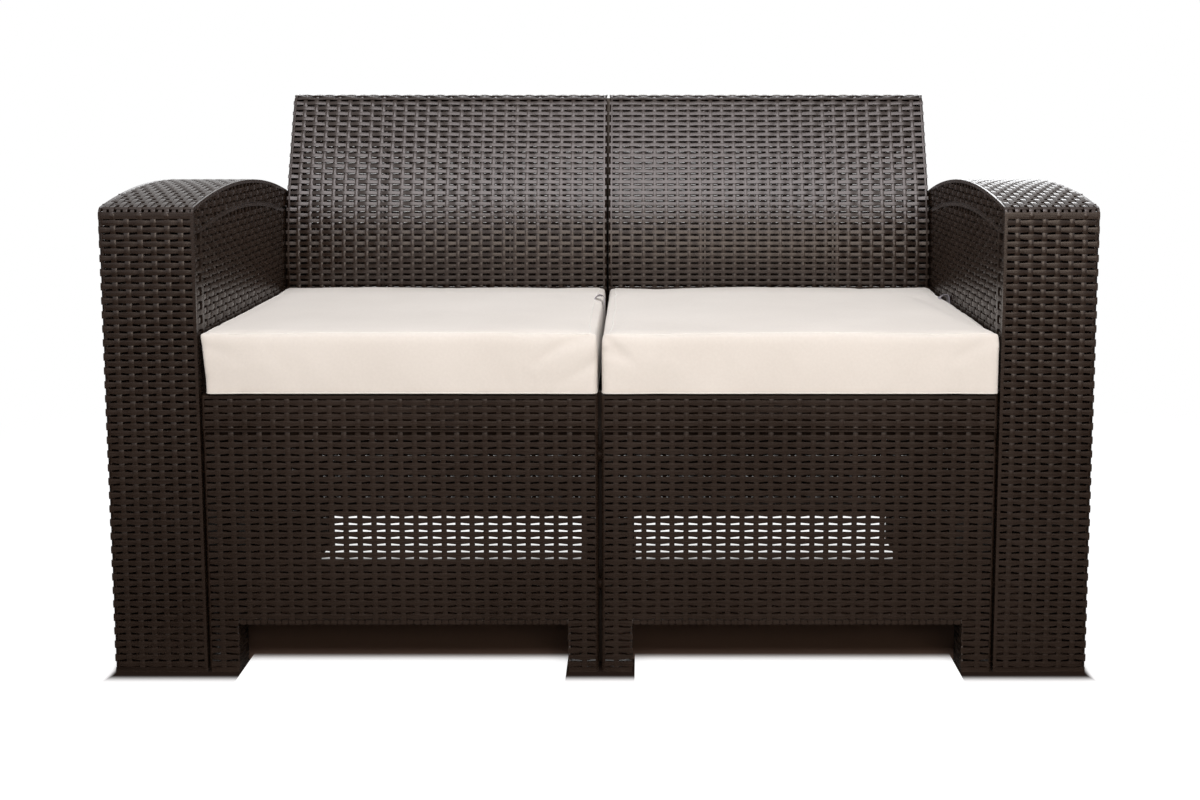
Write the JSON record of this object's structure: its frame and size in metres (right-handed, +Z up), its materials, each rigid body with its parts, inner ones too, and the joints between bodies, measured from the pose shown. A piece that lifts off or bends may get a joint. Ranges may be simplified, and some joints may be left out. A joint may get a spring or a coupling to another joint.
{
  "type": "garden sofa",
  "caption": "Garden sofa of moulded rattan-look resin: box arms with arched tops, woven-look panels, reclined backs and loose cream seat cushions.",
  "frame": {"origin": "on the floor, under the centre of the whole sofa", "axes": "+X to the sofa's right as seen from the front, along its length; +Y to the back; +Z up"},
  "size_m": [1.33, 0.6397, 0.79],
  "materials": {
    "resin": "satin dark brown polypropylene, moulded as a plain rattan weave",
    "bolt_plastic": "fine-grained dark moulded nylon",
    "cushion_fabric": "plain-woven cream polyester with piped-look seams",
    "foam": "open-cell foam",
    "zip_tape": "woven tape and nylon coil",
    "zip_metal": "satin nickel-plated",
    "ribbon": "folded satin ribbon, blank"
  },
  "bodies": {
    "root": {"left_arm_shell": "resin", "left_arm_inner_panel": "resin", "left_front_panel": "resin", "left_seat_panel": "resin", "left_backrest": "resin", "left_rear_panel": "resin", "right_arm_shell": "resin", "right_arm_inner_panel": "resin", "right_front_panel": "resin", "right_seat_panel": "resin", "right_backrest": "resin", "right_rear_panel": "resin", "left_arm_front_lower_bolt": "bolt_plastic", "left_arm_front_lower_wing_nut": "bolt_plastic", "left_arm_front_upper_bolt": "bolt_plastic", "left_arm_front_upper_wing_nut": "bolt_plastic", "left_arm_rear_lower_bolt": "bolt_plastic", "left_arm_rear_lower_wing_nut": "bolt_plastic", "left_arm_rear_upper_bolt": "bolt_plastic", "left_arm_rear_upper_wing_nut": "bolt_plastic", "centre_front_lower_bolt": "bolt_plastic", "centre_front_lower_wing_nut": "bolt_plastic", "centre_front_upper_bolt": "bolt_plastic", "centre_front_upper_wing_nut": "bolt_plastic", "centre_rear_lower_bolt": "bolt_plastic", "centre_rear_lower_wing_nut": "bolt_plastic", "centre_rear_upper_bolt": "bolt_plastic", "centre_rear_upper_wing_nut": "bolt_plastic", "right_arm_front_lower_bolt": "bolt_plastic", "right_arm_front_lower_wing_nut": "bolt_plastic", "right_arm_front_upper_bolt": "bolt_plastic", "right_arm_front_upper_wing_nut": "bolt_plastic", "right_arm_rear_lower_bolt": "bolt_plastic", "right_arm_rear_lower_wing_nut": "bolt_plastic", "right_arm_rear_upper_bolt": "bolt_plastic", "right_arm_rear_upper_wing_nut": "bolt_plastic"},
    "left_cushion": {"left_cushion_cover": "cushion_fabric", "left_foam_core": "foam", "left_zip": "zip_tape", "left_care_label": "ribbon"},
    "left_slider": {"left_zip_slider": "zip_metal"},
    "left_pull": {"left_zip_pull": "zip_metal"},
    "right_cushion": {"right_cushion_cover": "cushion_fabric", "right_foam_core": "foam", "right_zip": "zip_tape", "right_care_label": "ribbon"},
    "right_slider": {"right_zip_slider": "zip_metal"},
    "right_pull": {"right_zip_pull": "zip_metal"}
  },
  "joints": [
    {"name": "left_cushion_lift", "type": "slide", "parent": "root", "child": "left_cushion", "axis": [0, 0, 1], "range_m": [0, 0.25]},
    {"name": "left_zip_slide", "type": "slide", "parent": "left_cushion", "child": "left_slider", "axis": [1, 0, 0], "range_m": [-0.396, 0]},
    {"name": "left_zip_pull_swing", "type": "hinge", "parent": "left_slider", "child": "left_pull", "pos_m": [-0.07043, 0.1681, 0.4263], "axis": [1, 0, 0], "range_deg": [0, 8]},
    {"name": "right_cushion_lift", "type": "slide", "parent": "root", "child": "right_cushion", "axis": [0, 0, 1], "range_m": [0, 0.25]},
    {"name": "right_zip_slide", "type": "slide", "parent": "right_cushion", "child": "right_slider", "axis": [1, 0, 0], "range_m": [-0.396, 0]},
    {"name": "right_zip_pull_swing", "type": "hinge", "parent": "right_slider", "child": "right_pull", "pos_m": [0.46842, 0.1681, 0.4263], "axis": [1, 0, 0], "range_deg": [0, 8]}
  ]
}
